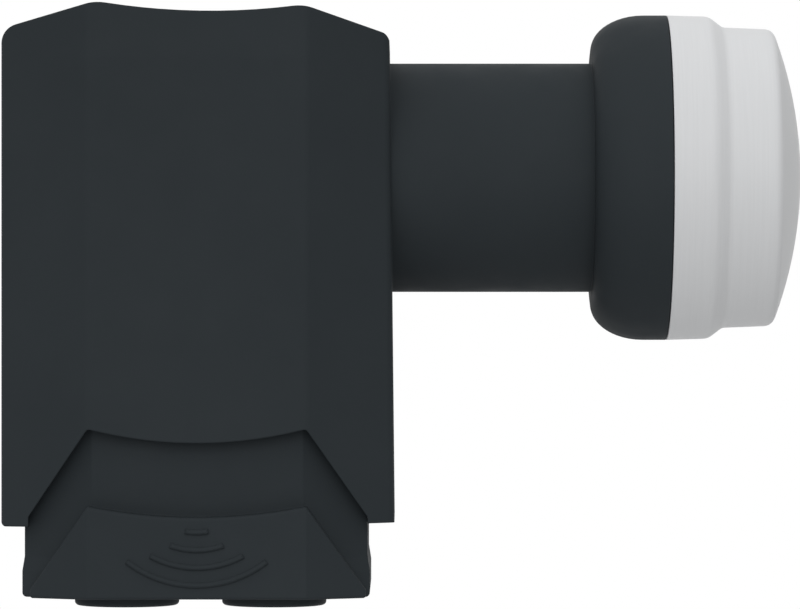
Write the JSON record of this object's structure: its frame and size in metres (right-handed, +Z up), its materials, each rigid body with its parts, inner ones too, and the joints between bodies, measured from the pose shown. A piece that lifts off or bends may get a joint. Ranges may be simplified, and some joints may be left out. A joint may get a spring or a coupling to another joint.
{
  "type": "satellite lnb",
  "caption": "Satellite receiver head: dark moulded housing, round clamping neck, stepped feed cap, threaded coaxial outputs underneath and a weather shield that slides down over them.",
  "frame": {"origin": "on the feed axis, in the middle of the clamping neck", "axes": "+X along the feed axis out of the feed cap, +Z up and away from the outputs"},
  "size_m": [0.1381, 0.06, 0.103],
  "materials": {
    "casing_plastic": "fine moulded grain, anthracite",
    "cap_plastic": "satin silver grey",
    "cast_metal": "as cast",
    "nickel": "nickel plating",
    "steel": "zinc plated",
    "contact_metal": "plain",
    "seal_rubber": "matt black",
    "insulator_plastic": "white",
    "board_laminate": "green solder mask",
    "package_plastic": "black moulding",
    "package_metal": "tinned can"
  },
  "bodies": {
    "head": {"casing_right": "casing_plastic", "casing_left": "casing_plastic", "feed_cap": "cap_plastic", "cap_seal": "seal_rubber", "horn_casting": "cast_metal", "chamber_lid": "cast_metal", "lid_gasket": "seal_rubber", "lid_screws": "steel", "rf_board": "board_laminate", "switch_board": "board_laminate", "board_screws": "steel", "link_block": "package_plastic", "link_pins": "contact_metal", "mixer_chip": "package_plastic", "reference_crystal": "package_metal", "preamp_transistors": "package_plastic", "switch_chip": "package_plastic", "supply_regulator": "package_plastic", "output_socket_1": "nickel", "output_washer_1": "seal_rubber", "output_insulator_1": "insulator_plastic", "output_contact_1": "contact_metal", "output_socket_2": "nickel", "output_washer_2": "seal_rubber", "output_insulator_2": "insulator_plastic", "output_contact_2": "contact_metal", "output_socket_3": "nickel", "output_washer_3": "seal_rubber", "output_insulator_3": "insulator_plastic", "output_contact_3": "contact_metal", "output_socket_4": "nickel", "output_washer_4": "seal_rubber", "output_insulator_4": "insulator_plastic", "output_contact_4": "contact_metal"},
    "shield": {"weather_shield": "casing_plastic"}
  },
  "joints": [
    {"name": "shield_slide", "type": "slide", "parent": "head", "child": "shield", "axis": [0, 0, 1], "range_m": [0, 0.012]}
  ]
}
